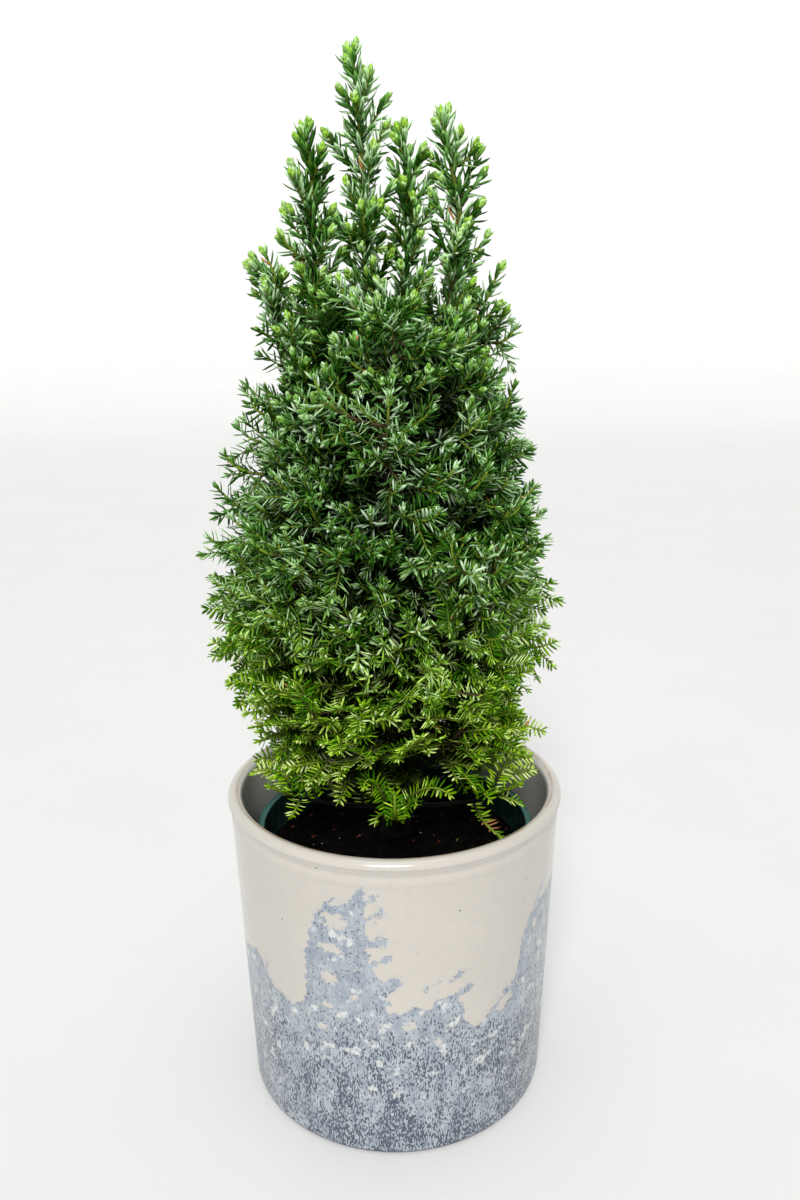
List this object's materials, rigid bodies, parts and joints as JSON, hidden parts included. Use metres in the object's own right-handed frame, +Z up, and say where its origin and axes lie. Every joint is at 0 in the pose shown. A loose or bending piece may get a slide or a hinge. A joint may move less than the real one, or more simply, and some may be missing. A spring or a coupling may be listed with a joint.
{
  "type": "tabletop tree",
  "caption": "Small conical conifer with dense needled limbs and upright leaders, in a nursery pot that lifts out of a round glazed cover pot.",
  "frame": {"origin": "centre of the cover pot's foot, on the surface it stands on", "axes": "+Z up along the pot's axis; -Y is the front, towards the viewer; +X is the viewer's right"},
  "size_m": [0.135, 0.135, 0.399],
  "materials": {
    "cream_glaze": "glossy cream glaze over a mottled blue-grey reactive glaze on the lower half",
    "nursery_plastic": "satin dark green moulded plastic",
    "potting_mix": "damp crumbly peat and bark",
    "root": "matte root bark",
    "bark": "rough brown bark",
    "twig": "smooth green-brown young bark",
    "foliage": "soft needles, yellow-green low down and blue-grey green above, with a pale bloom"
  },
  "bodies": {
    "cover_pot": {"cover_pot": "cream_glaze"},
    "grow_pot": {"grow_pot": "nursery_plastic"},
    "plant": {"potting_mix": "potting_mix", "root_system": "root", "trunk": "bark", "lower_limb_1_stem": "twig", "lower_limb_1_foliage": "foliage", "lower_limb_2_stem": "twig", "lower_limb_2_foliage": "foliage", "lower_limb_3_stem": "twig", "lower_limb_3_foliage": "foliage", "lower_limb_4_stem": "twig", "lower_limb_4_foliage": "foliage", "lower_limb_5_stem": "twig", "lower_limb_5_foliage": "foliage", "middle_limb_1_stem": "twig", "middle_limb_1_foliage": "foliage", "middle_limb_2_stem": "twig", "middle_limb_2_foliage": "foliage", "middle_limb_3_stem": "twig", "middle_limb_3_foliage": "foliage", "middle_limb_4_stem": "twig", "middle_limb_4_foliage": "foliage", "upper_limb_1_stem": "twig", "upper_limb_1_foliage": "foliage", "upper_limb_2_stem": "twig", "upper_limb_2_foliage": "foliage", "upper_limb_3_stem": "twig", "upper_limb_3_foliage": "foliage", "upper_limb_4_stem": "twig", "upper_limb_4_foliage": "foliage", "shoulder_limb_1_stem": "twig", "shoulder_limb_1_foliage": "foliage", "shoulder_limb_2_stem": "twig", "shoulder_limb_2_foliage": "foliage", "crown_limb_1_stem": "twig", "crown_limb_1_foliage": "foliage", "crown_limb_2_stem": "twig", "crown_limb_2_foliage": "foliage"},
    "skirt_limb_1": {"skirt_limb_1_stem": "twig", "skirt_limb_1_foliage": "foliage"},
    "skirt_limb_2": {"skirt_limb_2_stem": "twig", "skirt_limb_2_foliage": "foliage"},
    "skirt_limb_3": {"skirt_limb_3_stem": "twig", "skirt_limb_3_foliage": "foliage"},
    "skirt_limb_4": {"skirt_limb_4_stem": "twig", "skirt_limb_4_foliage": "foliage"},
    "skirt_limb_5": {"skirt_limb_5_stem": "twig", "skirt_limb_5_foliage": "foliage"},
    "skirt_limb_6": {"skirt_limb_6_stem": "twig", "skirt_limb_6_foliage": "foliage"},
    "left_leader": {"left_leader_stem": "twig", "left_leader_foliage": "foliage"},
    "middle_leader": {"middle_leader_stem": "twig", "middle_leader_foliage": "foliage"},
    "right_leader": {"right_leader_stem": "twig", "right_leader_foliage": "foliage"},
    "main_leader": {"main_leader_stem": "twig", "main_leader_foliage": "foliage"}
  },
  "joints": [
    {"name": "grow_pot_lift", "type": "slide", "parent": "cover_pot", "child": "grow_pot", "axis": [0, 0, 1], "range_m": [0, 0.125]},
    {"name": "root_ball_lift", "type": "slide", "parent": "grow_pot", "child": "plant", "axis": [0, 0, 1], "range_m": [0, 0.105]},
    {"name": "skirt_limb_1_sway", "type": "hinge", "parent": "plant", "child": "skirt_limb_1", "pos_m": [0.00468, 0.00295, 0.117], "axis": [0, 0, 1], "range_deg": [-6, 6], "stiffness_Nm_per_rad": 0.3},
    {"name": "skirt_limb_2_sway", "type": "hinge", "parent": "plant", "child": "skirt_limb_2", "pos_m": [0.00048, 0.00537, 0.117], "axis": [0, 0, 1], "range_deg": [-6, 6], "stiffness_Nm_per_rad": 0.3},
    {"name": "skirt_limb_3_sway", "type": "hinge", "parent": "plant", "child": "skirt_limb_3", "pos_m": [-0.00371, 0.00295, 0.117], "axis": [0, 0, 1], "range_deg": [-6, 6], "stiffness_Nm_per_rad": 0.3},
    {"name": "skirt_limb_4_sway", "type": "hinge", "parent": "plant", "child": "skirt_limb_4", "pos_m": [-0.00371, -0.0019, 0.117], "axis": [0, 0, 1], "range_deg": [-6, 6], "stiffness_Nm_per_rad": 0.3},
    {"name": "skirt_limb_5_sway", "type": "hinge", "parent": "plant", "child": "skirt_limb_5", "pos_m": [0.00048, -0.00432, 0.117], "axis": [0, 0, 1], "range_deg": [-6, 6], "stiffness_Nm_per_rad": 0.3},
    {"name": "skirt_limb_6_sway", "type": "hinge", "parent": "plant", "child": "skirt_limb_6", "pos_m": [0.00468, -0.0019, 0.117], "axis": [0, 0, 1], "range_deg": [-6, 6], "stiffness_Nm_per_rad": 0.3},
    {"name": "left_leader_bend", "type": "hinge", "parent": "plant", "child": "left_leader", "pos_m": [-0.00851, -0.00018, 0.252], "axis": [1, 0, 0], "range_deg": [-8, 8], "stiffness_Nm_per_rad": 0.3},
    {"name": "middle_leader_bend", "type": "hinge", "parent": "plant", "child": "middle_leader", "pos_m": [-0.00375, 0.00047, 0.264], "axis": [1, 0, 0], "range_deg": [-8, 8], "stiffness_Nm_per_rad": 0.3},
    {"name": "right_leader_bend", "type": "hinge", "parent": "plant", "child": "right_leader", "pos_m": [-0.00286, -0.0013, 0.243], "axis": [1, 0, 0], "range_deg": [-8, 8], "stiffness_Nm_per_rad": 0.3},
    {"name": "main_leader_bend", "type": "hinge", "parent": "plant", "child": "main_leader", "pos_m": [-0.0068, 0.0002, 0.2855], "axis": [1, 0, 0], "range_deg": [-8, 8], "stiffness_Nm_per_rad": 0.3}
  ]
}
